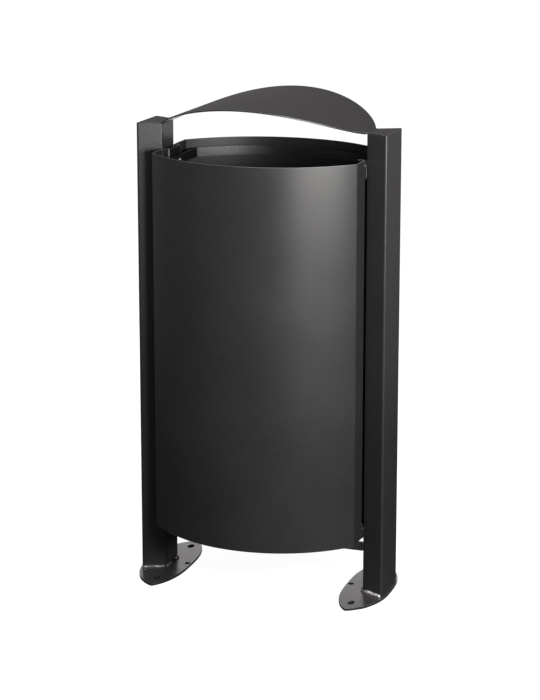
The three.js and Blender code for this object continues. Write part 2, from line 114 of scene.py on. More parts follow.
def rounded(corners, closed=False, steps=8):
    """Replaces each corner (x, y, radius) by a tangent arc."""
    path, count = [], len(corners)
    for i, corner in enumerate(corners):
        at = Vector(corner[:2])
        radius = corner[2] if len(corner) > 2 else 0
        if not radius or (not closed and i in (0, count - 1)):
            path.append(at)
            continue
        before = (Vector(corners[i - 1][:2]) - at).normalized()
        after = (Vector(corners[(i + 1) % count][:2]) - at).normalized()
        half = before.angle(after) / 2
        centre = at + (before + after).normalized() * radius / math.sin(half)
        reach = radius / math.tan(half)
        start, stop = at + before * reach - centre, at + after * reach - centre
        sweep = math.atan2(start.x * stop.y - start.y * stop.x, start.dot(stop))
        for k in range(steps + 1):
            path.append(centre + Matrix.Rotation(sweep * k / steps, 2) @ start)
    return path


def offset(path, distance, closed=False):
    """The same path moved sideways, to the left of its direction."""
    moved, last = [], len(path) - 1
    for i, at in enumerate(path):
        before = path[i - 1] if i or closed else None
        after = path[(i + 1) % len(path)] if i < last or closed else None
        a = (at - before).normalized() if before is not None else (after - at).normalized()
        b = (after - at).normalized() if after is not None else a
        tangent = (a + b).normalized()
        moved.append(at + Vector((-tangent.y, tangent.x)) * distance / tangent.dot(a))
    return moved


def strip(path, thickness):
    return [*path, *reversed(offset(path, thickness))]


def regular(radius, sides):
    angles = (math.tau / sides * k for k in range(sides))
    return [(radius * math.cos(a), radius * math.sin(a)) for a in angles]


def circle(x, y, radius, steps=40):
    angles = (2 * math.pi * i / steps for i in range(steps))
    return [Vector((x + radius * math.cos(a), y + radius * math.sin(a))) for a in angles]


# ---- solids, as bmesh, in millimetres ----
def outward(bm):
    """Turns every face outwards. A solid that is inside out cuts nothing."""
    bmesh.ops.recalc_face_normals(bm, faces=bm.faces)
    if bm.calc_volume(signed=True) < 0:
        bmesh.ops.reverse_faces(bm, faces=bm.faces)
    return bm


def tidy(bm):
    bmesh.ops.remove_doubles(bm, verts=bm.verts, dist=0.001)
    return outward(bm)


def prism(outline, z0, z1, holes=()):
    """An upright prism over an outline, with holes through it."""
    bm = bmesh.new()
    loops = [[Vector(p[:2]) for p in loop] for loop in (outline, *holes)]
    levels = [[[bm.verts.new((*p, z)) for p in loop] for loop in loops] for z in (z0, z1)]
    triangles = geometry.tessellate_polygon([[p.to_3d() for p in loop] for loop in loops])
    for level in levels:
        flat = [v for loop in level for v in loop]
        for triangle in triangles:
            bm.faces.new([flat[i] for i in triangle])
    for low, high in zip(*levels):
        for i, j in zip(range(len(low)), [*range(1, len(low)), 0]):
            bm.faces.new((low[i], low[j], high[j], high[i]))
    bmesh.ops.dissolve_limit(outward(bm), angle_limit=0.0005, verts=bm.verts, edges=bm.edges)
    return bm


def lathe(profile, steps=40):
    """A body of revolution about Z, from (radius, height) points between two points on the axis,
    or closed on themselves where they stay off it."""
    bm = bmesh.new()
    angles = [2 * math.pi * k / steps for k in range(steps)]
    rings = []
    for radius, height in profile:
        if radius < 1e-6:
            rings.append([bm.verts.new((0, 0, height))] * steps)
            continue
        rings.append([bm.verts.new((radius * math.cos(a), radius * math.sin(a), height)) for a in angles])
    if profile[0][0] > 0:
        rings.append(rings[0])
    for low, high in zip(rings, rings[1:]):
        for k in range(steps):
            m = (k + 1) % steps
            corners = list(dict.fromkeys((low[k], low[m], high[m], high[k])))
            if len(corners) > 2:
                bm.faces.new(corners)
    return tidy(bm)


def rod(radius, length, steps=40):
    """A plain round bar that stands on the origin."""
    return lathe([(0, 0), (radius, 0), (radius, length), (0, length)], steps)


def box(x0, x1, y0, y1, z0, z1):
    x0, x1 = sorted((x0, x1))
    return prism([(x0, y0), (x1, y0), (x1, y1), (x0, y1)], z0, z1)


def moved(bm, matrix):
    bm.transform(matrix)
    return outward(bm)


def aimed(bm, origin, direction):
    """Turns local +Z to the direction and moves the local origin to a point."""
    turn = Vector(direction).to_track_quat("Z", "Y").to_matrix().to_4x4()
    return moved(bm, Matrix.Translation(origin) @ turn)


def screw_hole(origin, direction, length=8):
    return aimed(rod(SCREW_HOLE_R, length, 24), origin, direction)


YZ_TO_XYZ = Matrix(((0, 0, 1, 0), (1, 0, 0, 0), (0, 1, 0, 0), (0, 0, 0, 1)))
XZ_TO_XYZ = Matrix(((1, 0, 0, 0), (0, 0, 1, 0), (0, 1, 0, 0), (0, 0, 0, 1)))


def temporary(bm):
    mesh = bpy.data.meshes.new("temporary")
    bm.to_mesh(mesh)
    bm.free()
    obj = bpy.data.objects.new("temporary", mesh)
    bpy.context.scene.collection.objects.link(obj)
    return obj


def discard(objects):
    for obj in objects:
        mesh = obj.data
        bpy.data.objects.remove(obj)
        bpy.data.meshes.remove(mesh)


def evaluated_mesh(obj):
    bpy.context.view_layer.update()
    return bpy.data.meshes.new_from_object(obj.evaluated_get(bpy.context.evaluated_depsgraph_get()))


def combined(operation, body, tools):
    obj = temporary(body)
    helpers = [temporary(tool) for tool in tools]
    for helper in helpers:
        step = obj.modifiers.new("combine", "BOOLEAN")
        step.operation, step.solver, step.object = operation, "EXACT", helper
    mesh = evaluated_mesh(obj)
    result = bmesh.new()
    result.from_mesh(mesh)
    bpy.data.meshes.remove(mesh)
    discard([obj, *helpers])
    bmesh.ops.dissolve_limit(result, angle_limit=0.0005, verts=result.verts, edges=result.edges)
    return result


def cut(body, *tools):
    return combined("DIFFERENCE", body, tools)


def joined(body, *others):
    return combined("UNION", body, others)


# ---- materials ----
MICRO_RELIEF = 0.00001  # metres, on smooth surfaces
THIN_COAT_AND_HIGHLIGHT_GREY = 0.16  # paler where the coat thins over an edge, and partly a painted highlight: the light the rounded edges catch


class Graph:
    """A short way to write a node tree: every call makes a node, and sockets are passed as inputs."""

    def __init__(self, tree):
        self.tree = tree
        tree.nodes.clear()

    def add(self, kind, inputs=None, **settings):
        node = self.tree.nodes.new(kind)
        for name, value in settings.items():
            setattr(node, name, value)
        for name, value in (inputs or {}).items():
            if isinstance(value, bpy.types.NodeSocket):
                self.tree.links.new(value, node.inputs[name])
            else:
                node.inputs[name].default_value = value
        return node

    def noise(self, place, scale, detail=2.0, rough=0.5):
        inputs = {"Vector": place, "Scale": scale, "Detail": detail, "Roughness": rough}
        return self.add("ShaderNodeTexNoise", inputs).outputs["Fac"]

    def ranged(self, value, low, high, start=0.0, end=1.0):
        inputs = {"Value": value, "From Min": start, "From Max": end, "To Min": low, "To Max": high}
        return self.add("ShaderNodeMapRange", inputs).outputs["Result"]

    def spread(self, noise, low, high):
        """Maps the middle of a noise, where nearly all its values lie."""
        return self.ranged(noise, low, high, 0.3, 0.7)

    def math(self, operation, a, b):
        return self.add("ShaderNodeMath", {0: a, 1: b}, operation=operation).outputs[0]

    def shaded(self, grey, level, tint):
        """The grey times a level from 0 to 2, with a slight tint."""
        inputs = {"Factor": self.math("MULTIPLY", level, 0.5), "A": rgba(0.0), "B": rgba(2 * grey, tint)}
        mix = self.add("ShaderNodeMix", inputs, data_type="RGBA", clamp_factor=False)
        return mix.outputs["Result"]


def rgba(grey, tint=(1.0, 1.0, 1.0)):
    return (*(grey * t for t in tint), 1.0)


def finish_graph(graph, colour, roughness, height, metallic, depth):
    """The shader and its bump. Depth is the relief in metres."""
    bump = graph.add("ShaderNodeBump", {"Height": height, "Distance": depth, "Strength": 1.0})
    inputs = {"Base Color": colour, "Roughness": roughness, "Metallic": metallic, "Normal": bump.outputs[0]}
    shader = graph.add("ShaderNodeBsdfPrincipled", inputs)
    graph.add("ShaderNodeOutputMaterial", {"Surface": shader.outputs[0]})


def new_graph(name):
    material = bpy.data.materials.new(name)
    material.use_nodes = True
    return material, Graph(material.node_tree)


def powder_coat(name, grey, roughness, depth=0.0001, metallic=0.0):
    """Fine-texture metallic powder coat: grain, flakes, and a slow drift of shade and gloss."""
    material, graph = new_graph(name)
    place = graph.add("ShaderNodeTexCoord").outputs["Object"]
    grain = graph.noise(place, 1400.0, 3.0, 0.6)
    swell = graph.noise(place, 260.0, 2.0)
    drift = graph.noise(place, 5.0, 3.0)
    flake = graph.add("ShaderNodeTexVoronoi", {"Vector": place, "Scale": 2600.0}).outputs["Color"]
    spark = graph.ranged(graph.add("ShaderNodeSeparateColor", {0: flake}).outputs[0], 0.0, 1.0, 0.80, 1.0)
    shade = graph.math("MULTIPLY", graph.spread(drift, 0.88, 1.12), graph.spread(grain, 0.8, 1.2))
    shade = graph.math("MULTIPLY", shade, graph.spread(swell, 0.87, 1.13))
    level = graph.math("ADD", shade, graph.math("MULTIPLY", spark, 0.5))
    gloss = graph.math("ADD", graph.spread(drift, -0.03, 0.03), graph.spread(grain, -0.04, 0.04))
    height = graph.math("ADD", graph.math("MULTIPLY", grain, 0.2), swell)
    colour = graph.shaded(grey, level, (1.02, 0.985, 1.0))
    finish_graph(graph, colour, graph.math("ADD", gloss, roughness), height, metallic, depth)
    return material


def bare_metal(name, grey, roughness):
    """Plated or turned steel, with fine marks and slow stains."""
    material, graph = new_graph(name)
    place = graph.add("ShaderNodeTexCoord").outputs["Object"]
    marks = graph.noise(place, 1500.0, 4.0, 0.7)
    stain = graph.noise(place, 160.0, 3.0)
    level = graph.math("MULTIPLY", graph.spread(stain, 0.85, 1.1), graph.spread(marks, 0.9, 1.1))
    gloss = graph.math("ADD", graph.spread(stain, -0.08, 0.08), roughness)
    colour = graph.shaded(grey, level, (0.99, 1.0, 1.02))
    finish_graph(graph, colour, gloss, marks, 1.0, MICRO_RELIEF)
    return material


def moulded(name, grey, roughness):
    """Rubber or nylon with a light mould grain."""
    material, graph = new_graph(name)
    place = graph.add("ShaderNodeTexCoord").outputs["Object"]
    grain = graph.noise(place, 2200.0, 2.0)
    bloom = graph.noise(place, 300.0, 3.0)
    shades = {"Factor": graph.spread(bloom, 0.3, 0.7), "A": rgba(0.8 * grey), "B": rgba(1.3 * grey)}
    colour = graph.add("ShaderNodeMix", shades, data_type="RGBA")
    gloss = graph.math("ADD", graph.spread(bloom, -0.06, 0.06), roughness)
    finish_graph(graph, colour.outputs["Result"], gloss, grain, 0.0, 0.00003)
    return material


def coat_with_edge(name, grey, roughness, edge_roughness, **faces):
    """A coat for the faces, and a smoother and paler one for the rounded edges: partly a thinner coat,
    partly a painted highlight along them.
    """
    # the edge coat's pale grey is partly a thin coat and partly a painted highlight
    edge = powder_coat(f"{name}_edge_coat_and_painted_highlight", THIN_COAT_AND_HIGHLIGHT_GREY, edge_roughness, MICRO_RELIEF)
    return powder_coat(f"{name}_coat", grey, roughness, **faces), edge


FRAME_COAT = coat_with_edge("frame", 0.02, 0.39, 0.22)
SHELL_COAT = coat_with_edge("shell", 0.018, 0.39, 0.24)
# the hat's bevels get a near-white grey: a painted highlight for the bright line along the hat's and caps'
# front edges
HAT_COAT = (FRAME_COAT[0], powder_coat("hat_edge_painted_highlight", 0.45, 0.24, MICRO_RELIEF))
INNER_COAT = coat_with_edge("inner", 0.1, 0.36, 0.24, metallic=1.0)
PLATE_COAT = coat_with_edge("plate", 0.025, 0.3, 0.28, depth=0.00006)
WELD_COAT = (powder_coat("weld_coat", 0.4, 0.26, MICRO_RELIEF, 0.85),) * 2
ZINC = (bare_metal("zinc", 0.42, 0.36), bare_metal("zinc_edge", 0.5, 0.3))
STAINLESS = (bare_metal("stainless", 0.5, 0.26), bare_metal("stainless_edge", 0.56, 0.22))
RUBBER = (moulded("rubber", 0.012, 0.75),) * 2
NYLON = (moulded("nylon", 0.02, 0.55),) * 2


# ---- finished pieces ----
body_of = {
    node: body
    for body, nodes in frame["record"]["behaviour"]["bodies"].items()
    for node in nodes
}


def piece(name, bm, node, coat, edge, segments=2):
    """Scales a solid to metres, rounds its sharp edges, and lets it stand for a CAD node.
    A piece without a node is an addition to the frame."""
    bmesh.ops.scale(bm, vec=(MM, MM, MM), verts=bm.verts)
    obj = temporary(outward(bm))
    for material in coat:
        obj.data.materials.append(material)
    if edge:
        bevel = obj.modifiers.new("edge", "BEVEL")
        bevel.limit_method, bevel.angle_limit = "ANGLE", math.radians(40)
        bevel.width, bevel.segments, bevel.material = edge * MM, segments, 1
        bevel.use_clamp_overlap = True
    shaped = evaluated_mesh(obj)
    shaped.shade_smooth()
    shaped.set_sharp_from_angle(angle=math.radians(44))
    obj.modifiers.clear()
    old, obj.data = obj.data, shaped
    bpy.data.meshes.remove(old)
    normals = obj.modifiers.new("normals", "WEIGHTED_NORMAL")
    normals.keep_sharp = True
    final = evaluated_mesh(obj)
    obj.modifiers.clear()
    old, obj.data = obj.data, final
    bpy.data.meshes.remove(old)
    obj.name = name
    final.name = name
    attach(obj, body_of[node] if node else "frame")
    if node:
        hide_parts(node)


# ---- posts and floor plates ----
def post_outline(sign):
    out = POST_IN + POST_W
    corners = [
        (POST_IN, -POST_HALF_IN, POST_BEND),
        (out, -POST_HALF_OUT, POST_BEND),
        (out, POST_HALF_OUT, POST_BEND),
        (POST_IN, POST_HALF_IN, POST_BEND),
    ]
    return rounded(corners if sign > 0 else flip_x(corners), closed=True)


def make_post(side, sign):
    outer = post_outline(sign)
    bm = prism(outer, PLATE_T + SEAM, TOP - HAT_T - SEAM, [offset(outer, POST_WALL, closed=True)])
    piece(f"post_tube_{side}", bm, f"post_{side}", FRAME_COAT, 0.3)


def plate_outline(sign, steps=60):
    def half(bulge_x):
        along = [-math.cos(math.pi * i / steps) for i in range(steps)]
        out = [bulge_x * (1 - abs(t) ** PLATE_FULLNESS) ** PLATE_POINT for t in along]
        return [(PLATE_TIP_X + x, PLATE_HALF * t) for x, t in zip(out, along)]

    outline = [*half(PLATE_OUT), *((x, -y) for x, y in half(-PLATE_IN))]
    return outline if sign > 0 else flip_x(outline)


def slot_outline(x, y, steps=16):
    angles = [math.pi * i / steps for i in range(steps + 1)]
    end = [(ANCHOR_R * math.cos(a), SLOT_HALF + ANCHOR_R * math.sin(a)) for a in angles]
    return [Vector((x + a, y + b)) for a, b in end] + [Vector((x - a, y - b)) for a, b in end]


def make_plate(side, sign):
    holes = [circle(sign * ANCHOR_X, 0, ANCHOR_R)]
    holes += [slot_outline(sign * SLOT_X, y) for y in (-SLOT_Y, SLOT_Y)]
    bm = prism(plate_outline(sign), 0, PLATE_T, holes)
    piece(f"floor_plate_{side}", bm, f"base_plate_{side}", PLATE_COAT, 0.6, 3)


# ---- hat ----
def hat_profile():
    """The hat's top line in the XZ plane: flat ends over the posts and an arch between them."""
    out = POST_IN + POST_W
    arch = [(x, TOP - y) for x, y in bulge(POST_IN, 0, HAT_RISE, 60)]
    arch[0], arch[-1] = (*arch[0], 14.0), (*arch[-1], 14.0)
    return rounded([(out + 1, TOP), *arch, (-out - 1, TOP)])


def hat_plan():
    out = POST_IN + POST_W
    front = bulge(POST_IN, POST_HALF_IN, HAT_HALF - POST_HALF_IN, 72)
    front[0], front[-1] = (*front[0], 3.0), (*front[-1], 3.0)
    end = (out, -POST_HALF_OUT, POST_BEND)
    half = [end, *front, *flip_x([end])]
    return rounded([*half, *flip_y(half)], closed=True)


def make_hat():
    band = moved(prism(strip(hat_profile(), HAT_T), -HAT_HALF - 1, HAT_HALF + 1), XZ_TO_XYZ)
    bm = combined("INTERSECT", band, [prism(hat_plan(), TOP - HAT_RISE, TOP + 2 * HAT_RISE)])
    piece("hat_sheet", bm, "hat", HAT_COAT, 1.0, 3)


# ---- shells ----
def shell_outline(lip_y):
    panel = bulge(SHELL_X, SHELL_CORNER, SHELL_BULGE, 96)
    panel[0], panel[-1] = (*panel[0], 5.0), (*panel[-1], 5.0)
    ends = [(SHELL_X, -lip_y, 4.0), (LIP_X, -lip_y)]
    return rounded([*reversed(ends), *panel, *flip_x(ends)[::-1]])


def make_front_shell():
    shell = prism(strip(shell_outline(DOOR_LIP_Y), -SHEET), SHELL_Z0, SHELL_Z1)
    low = box(LIP_X - 1, SHELL_X + 1, HINGE.y - 6, HINGE.y + 2, SHELL_Z0 - 1, BARREL_Z + 24)
    high = box(LIP_X - 1, SHELL_X + 1, HINGE.y - 7, HINGE.y + 2, TAB_Z - 5, TAB_Z + 2 * TAB_T + 5)
    lock_hole = aimed(rod(LOCK_HOLE_R, 8), (-SHELL_X - 2, *LOCK), (1, 0, 0))
    piece("door_panel", cut(shell, low, high, lock_hole), "front_shell", SHELL_COAT, 0.5)


def make_rear_shell():
    outline = strip([Vector(p) for p in flip_y(shell_outline(REAR_LIP_Y))], -SHEET)
    holes = [
        screw_hole((sign * SCREW_X, REAR_LIP_Y - 2, z), (0, 1, 0))
        for sign in SIDES.values()
        for z in LEVELS.values()
    ]
    bm = cut(prism(outline, SHELL_Z0, SHELL_Z1), *holes)
    piece("rear_panel", bm, "rear_shell", SHELL_COAT, 0.5)


# ---- brackets, rail, bottom plate ----
def make_bracket(side, sign, level, z):
    reach = POST_IN - SEAM
    corners = [(reach, -LEG), (WEB, -LEG, 4.0), (WEB, LEG, 4.0), (reach, LEG)]
    outline = strip(rounded(corners), -SHEET)
    if sign < 0:
        outline = flip_x([tuple(p) for p in outline])
    bolt_z = z if level == "upper" else FLOOR_SCREW_Z
    side_hole = screw_hole((sign * (WEB - 2), 0, bolt_z), (sign, 0, 0))
    rear_hole = screw_hole((sign * SCREW_X, LEG - 5, z), (0, 1, 0))
    foot = z - BRACKET_H / 2
    tall = (level, side) == ("upper", "left")
    height = BRACKET_TALL if tall else BRACKET_H
    bm = cut(prism(outline, foot, foot + height), side_hole, rear_hole)
    coat = INNER_COAT if tall else FRAME_COAT
    piece(f"bracket_plate_{level}_{side}", bm, f"bracket_{level}_{side}", coat, 0.35)


def make_rail():
    end = POST_IN - SEAM
    bm = box(-end, end, RAIL_FRONT, RAIL_BACK, RAIL_Z0, RAIL_Z1)
    piece("front_rail", bm, "lower_rail", FRAME_COAT, 0.7, 3)


def shell_arc():
    """The radius of the shells' panels, and how far behind the origin the front one has its centre."""
    radius = (SHELL_X**2 + SHELL_BULGE**2) / (2 * SHELL_BULGE)
    return radius, radius - SHELL_CORNER - SHELL_BULGE


def make_bottom_plate():
    radius, centre = shell_arc()
    inner = radius - SHEET - FLOOR_CLEAR
    edge = math.sqrt(inner**2 - FLOOR_X**2) - centre
    front = bulge(FLOOR_X, edge, inner - centre - edge)
    ear = WEB - SEAM
    end, half = ear - SEAM, FLOOR_EAR - SEAM  # the tab tapers into the ear, so no faces coincide
    tab = [(-FLOOR_X, -FLOOR_EAR), (-end, -half), (-end, half), (-FLOOR_X, FLOOR_EAR)]
    outline = [*front, *tab, *flip_y(front), *flip_x(tab)]
    drains = [
        circle(i * DRAIN_PITCH, j * DRAIN_PITCH, DRAIN_R, 32) for i in range(-2, 3) for j in (-1, 0, 1)
    ]
    plate = prism(outline, FLOOR_Z, FLOOR_Z + SHEET, drains)
    ears, holes = [], []
    for sign in SIDES.values():
        z0, z1 = FLOOR_Z + 1, FLOOR_SCREW_Z + 8
        ears.append(box(sign * (ear - SHEET), sign * ear, -FLOOR_EAR, FLOOR_EAR, z0, z1))
        holes.append(screw_hole((sign * (ear - 5), 0, FLOOR_SCREW_Z), (sign, 0, 0), 10))
    bm = cut(joined(plate, *ears), *holes)
    piece("floor_tray", bm, "bottom_plate", FRAME_COAT, 0.4)


# ---- fasteners ----
def screw_body(length):
    """A button-head screw along +Z whose head's back is at the origin."""
    dome = [
        (HEAD_R * math.cos(a), -HEAD_H * (0.25 + 0.75 * math.sin(a)))
        for a in (math.pi / 2 * k / 8 for k in range(8))
    ]
    dome = [(r, h) for r, h in dome if r > SOCKET_RIM]
    shank = [(SCREW_R, 0), (SCREW_R, length - 0.6), (SCREW_R - 0.6, length), (0, length)]
    profile = [(0, -HEAD_H), (SOCKET_RIM, -HEAD_H), *reversed(dome), (HEAD_R, 0), *shank]
    return cut(lathe(profile), prism(regular(1.8, 6), -HEAD_H - 1, -HEAD_H + 1.8))


def nut_body():
    """A hexagon nut along +Z that stands on the origin, with turned corners."""
    side = [(NUT_R - 0.6, 0), (NUT_R, 0.5), (NUT_R, NUT_H - 0.5), (NUT_R - 0.6, NUT_H)]
    turned = [(0, 0), *side, (0, NUT_H)]
    blank = combined("INTERSECT", prism(regular(NUT_R, 6), 0, NUT_H), [lathe(turned)])
    bore = [(0, -1), (SCREW_R + SEAM, -1), (SCREW_R + SEAM, NUT_H + 1), (0, NUT_H + 1)]
    return cut(blank, lathe(bore, 28))


def make_fasteners():
    for side, sign in SIDES.items():
        for level, z in LEVELS.items():
            seat = (sign * SCREW_X, REAR_LIP_Y + SHEET + SEAM, z)
            bm = aimed(screw_body(17), seat, (0, -1, 0))
            piece(f"shell_screw_{level}_{side}", bm, f"rear_screw_{level}_{side}", ZINC, 0.12, 1)
            bm = aimed(nut_body(), (sign * SCREW_X, LEG - SHEET - SEAM, z), (0, -1, 0))
            piece(f"shell_nut_{level}_{side}", bm, f"rear_nut_{level}_{side}", ZINC, 0.12, 1)
        bm = aimed(screw_body(16), (sign * (WEB - 2 * SEAM - SHEET), 0, FLOOR_SCREW_Z), (sign, 0, 0))
        piece(f"tray_screw_{side}", bm, f"floor_screw_{side}", ZINC, 0.12, 1)
        bm = aimed(nut_body(), (sign * (WEB + SHEET + SEAM), 0, FLOOR_SCREW_Z), (sign, 0, 0))
        piece(f"tray_nut_{side}", bm, f"floor_nut_{side}", ZINC, 0.12, 1)


# ---- bag ring ----
def ring_outline():
    centre = shell_arc()[1]
    edge = math.sqrt((RING_Y + centre) ** 2 - RING_X**2) - centre
    front = bulge(RING_X, edge, RING_Y - edge)
    front[0], front[-1] = (*front[0], 10.0), (*front[-1], 10.0)
    return rounded([*front, *flip_y(front)], closed=True)


def hoop(outline, section):
    """A section of (outward, height) corners carried round a closed outline."""
    bm = bmesh.new()
    loops = [[bm.verts.new((*p, z)) for p in offset(outline, out, closed=True)] for out, z in section]
    for low, high in zip(loops, [*loops[1:], loops[0]]):
        for i in range(len(low)):
            bm.faces.new((low[i - 1], low[i], high[i], high[i - 1]))
    return tidy(bm)


def make_ring():
    z0, z1 = LEVELS["upper"] - RING_H / 2, LEVELS["upper"] + RING_H / 2
    lip = [(RING_LIP, z0), (RING_LIP, z0 + RING_T)]
    section = [(-RING_T, z0), *lip, (0, z0 + RING_T), (0, z1), (-RING_T, z1)]
    reach, wide = SHELL_CORNER + 30, RING_X + RING_LIP + 1
    lips_off = [box(s * RING_X, s * wide, -reach, reach, z0 - 1, z1) for s in SIDES.values()]
    pivots = [
        aimed(rod(SCREW_R + 1, 10, 28), (s * (RING_X - 5), 0, LEVELS["upper"]), (s, 0, 0))
        for s in SIDES.values()
    ]
    bm = cut(hoop(ring_outline(), section), *lips_off, *pivots)
    piece("bag_hoop", bm, "bag_ring", INNER_COAT, 0.6)


def make_ring_pivots():
    z = LEVELS["upper"]
    for side, sign in SIDES.items():
        length = WEB - SEAM - (RING_X + SEAM)
        outside = [(6.5, 0), (7, 0.5), (7, length - 0.5), (6.5, length)]
        bush = [(SCREW_HOLE_R, 0), *outside, (SCREW_HOLE_R, length)]
        bm = aimed(lathe(bush), (sign * (RING_X + SEAM), 0, z), (sign, 0, 0))
        piece(f"pivot_spacer_{side}", bm, f"ring_spacer_{side}", NYLON, 0)
        bm = aimed(screw_body(21), (sign * (RING_X - RING_T - SEAM), 0, z), (sign, 0, 0))
        piece(f"pivot_screw_{side}", bm, f"ring_screw_{side}", STAINLESS, 0.12, 1)
        bm = aimed(nut_body(), (sign * (WEB + SHEET + SEAM), 0, z), (sign, 0, 0))
        piece(f"pivot_nut_{side}", bm, f"ring_nut_{side}", ZINC, 0.12, 1)


# ---- door hinges ----
def on_hinge(bm):
    return moved(bm, Matrix.Translation((*HINGE, 0)))


def hinge_disc(radius, z0, z1):
    return on_hinge(lathe([(0, z0), (radius, z0), (radius, z1), (0, z1)]))


def sleeve(z0, z1, outer, inner, chamfer=0.5):
    """An upright tube on the hinge axis, with chamfered ends."""
    profile = [
        (inner, z0),
        (outer - chamfer, z0),
        (outer, z0 + chamfer),
        (outer, z1 - chamfer),
        (outer - chamfer, z1),
        (inner, z1),
    ]
    return on_hinge(lathe(profile))


def hinge_pin(z_head, z_neck, z_end):
    """A pin on the hinge axis with a domed head between z_head and z_neck, and its tail at z_end."""
    step = 1 if z_end > z_neck else -1
    head = BARREL_R - SEAM
    height = abs(z_neck - z_head)
    angles = [math.pi * k / 16 for k in range(8)]
    dome = [(head * math.cos(a), z_neck - step * height * math.sin(a)) for a in angles]
    tail = [(PIN_R, z_neck), (PIN_R, z_end - step * 0.6), (PIN_R - 0.6, z_end), (0, z_end)]
    return on_hinge(lathe([(0, z_head), *reversed(dome), *tail]))


def hinge_hole():
    return on_hinge(rod(PIN_HOLE_R, TOP, 32))


def make_lower_hinge(flange):
    low, high = BARREL_Z - BARREL_H, BARREL_Z + BARREL_H
    fixed = sleeve(low, BARREL_Z - SEAM / 2, BARREL_R, PIN_HOLE_R)
    piece("hinge_knuckle_fixed", fixed, "hinge_barrel_fixed", FRAME_COAT, 0)

    z = BARREL_Z + SEAM
    leaf = box(flange - 3, flange, HINGE.y - 34, HINGE.y - 2, z, high)
    bm = cut(joined(hinge_disc(BARREL_R, z, high), leaf), hinge_hole())
    piece("hinge_leaf_door", bm, "hinge_barrel_door", FRAME_COAT, 0.4)
    pin = hinge_pin(low - PIN_HEAD, low - SEAM, high + PIN_TAIL)
    piece("hinge_bolt_lower", pin, "hinge_pin_lower", ZINC, 0)


def make_upper_hinge(flange):
    arm = box(LIP_X + TAB_T, POST_IN - SEAM, HINGE.y, 14 - LEG, TAB_Z, TAB_Z + TAB_T)
    bm = cut(joined(arm, hinge_disc(TAB_R, TAB_Z, TAB_Z + TAB_T)), hinge_hole())
    piece("hinge_eye_fixed", bm, "hinge_tab_fixed", FRAME_COAT, 0.3)

    z = TAB_Z + TAB_T + SEAM
    top = z + TAB_T
    arm = box(flange - 15, flange, HINGE.y - 36, HINGE.y - 7.5, z, top)
    neck = box(HINGE.x - 4, flange, HINGE.y - 8, HINGE.y, z, top)
    bm = cut(joined(hinge_disc(TAB_R - 0.5, z, top), neck, arm), hinge_hole())
    piece("hinge_eye_door", bm, "hinge_tab_door", FRAME_COAT, 0.3)
    pin = hinge_pin(top + PIN_HEAD, top + SEAM, TAB_Z - PIN_TAIL)
    piece("hinge_bolt_upper", pin, "hinge_pin_upper", ZINC, 0)


def make_hinges():
    flange = SHELL_X - SHEET - SEAM
    make_lower_hinge(flange)
    make_upper_hinge(flange)


# ---- lock ----
def cam_outline():
    eye = [(9 * math.cos(a), 9 * math.sin(a)) for a in (math.pi * k / 20 for k in range(21))]
    back = [(-9, -34), (-12, -40, 4), (-12, -56, 6), (-8, -60, 4)]
    hook = [*back, (4, -60, 4), (8, -56, 3), (8, -CAM_REACH - 5, 1)]
    turns = [math.pi * (1.5 - k / 20) for k in range(21)]
    notch = [(5 * math.cos(a), -CAM_REACH + 5 * math.sin(a)) for a in turns]
    path = rounded([*eye, *hook, *notch, (8, -CAM_REACH + 5, 1), (8, -36)], closed=True, steps=4)
    return [Vector((p.x + LOCK.x, p.y + LOCK.y)) for p in path]


def along_x(profile, x, steps=40):
    """A turned body on the lock's axis, from (radius, distance from x) points."""
    return aimed(lathe(profile, steps), (x, *LOCK), (1, 0, 0))


def make_lock_housing(face):
    rim = [(5.3, 0), (7, 0), (7, -1.2), (10.2, -2.2), (11, -1.4), (11, 0), (8, 0), (8, 13), (5.3, 13)]
    piece("lock_body", along_x(rim, face, 48), "lock_housing", STAINLESS, 0.1, 1)

    seat = (-SHELL_X + SHEET + SEAM, *LOCK)
    bore = lathe([(0, -1), (LOCK_HOLE_R, -1), (LOCK_HOLE_R, 6), (0, 6)])
    ring_nut = aimed(cut(prism(regular(LOCK_NUT_R, 6), 0, 5), bore), seat, (1, 0, 0))
    piece("lock_ring_nut", ring_nut, "lock_nut", ZINC, 0.4)


def make_lock_spindle(start):
    """The turning core: a triangle for the key outside, and a neck for the cam inside."""
    length = CAM_X - SEAM - start
    end = length + CAM_T + SEAM
    spindle = [(0, 0), (4.6, 0), (5, 0.4), (5, length), (3, length), (3, end), (0, end)]
    triangle = aimed(prism(regular(KEY_R, 3), -1.2, 2), (-SHELL_X - SEAM, *LOCK), (1, 0, 0))
    thread = along_x([(0, 0), (1.8, 0), (1.8, 9), (0, 9)], CAM_X - 3, 20)
    core = cut(joined(along_x(spindle, start), triangle), thread)
    piece("lock_spindle", core, "lock_core", STAINLESS, 0.2, 1)


def make_lock_cam():
    cam = moved(prism(cam_outline(), CAM_X, CAM_X + CAM_T, [circle(*LOCK, 3.3)]), YZ_TO_XYZ)
    piece("lock_hook", cam, "lock_cam", ZINC, 0.3)

    seat = CAM_X + CAM_T + 2 * SEAM
    head = [(0, -4), (1.5, -4), (1.5, 0), (5, 0), (5, 1.4), (4, 2.3), (2.6, 2.5), (0, 2.5)]
    cross = [
        box(seat + 1.3, seat + 4, LOCK.x - y, LOCK.x + y, LOCK.y - z, LOCK.y + z)
        for y, z in ((3, 0.5), (0.5, 3))
    ]
    piece("lock_hook_screw", cut(along_x(head, seat), *cross), "lock_cam_screw", ZINC, 0.1, 1)


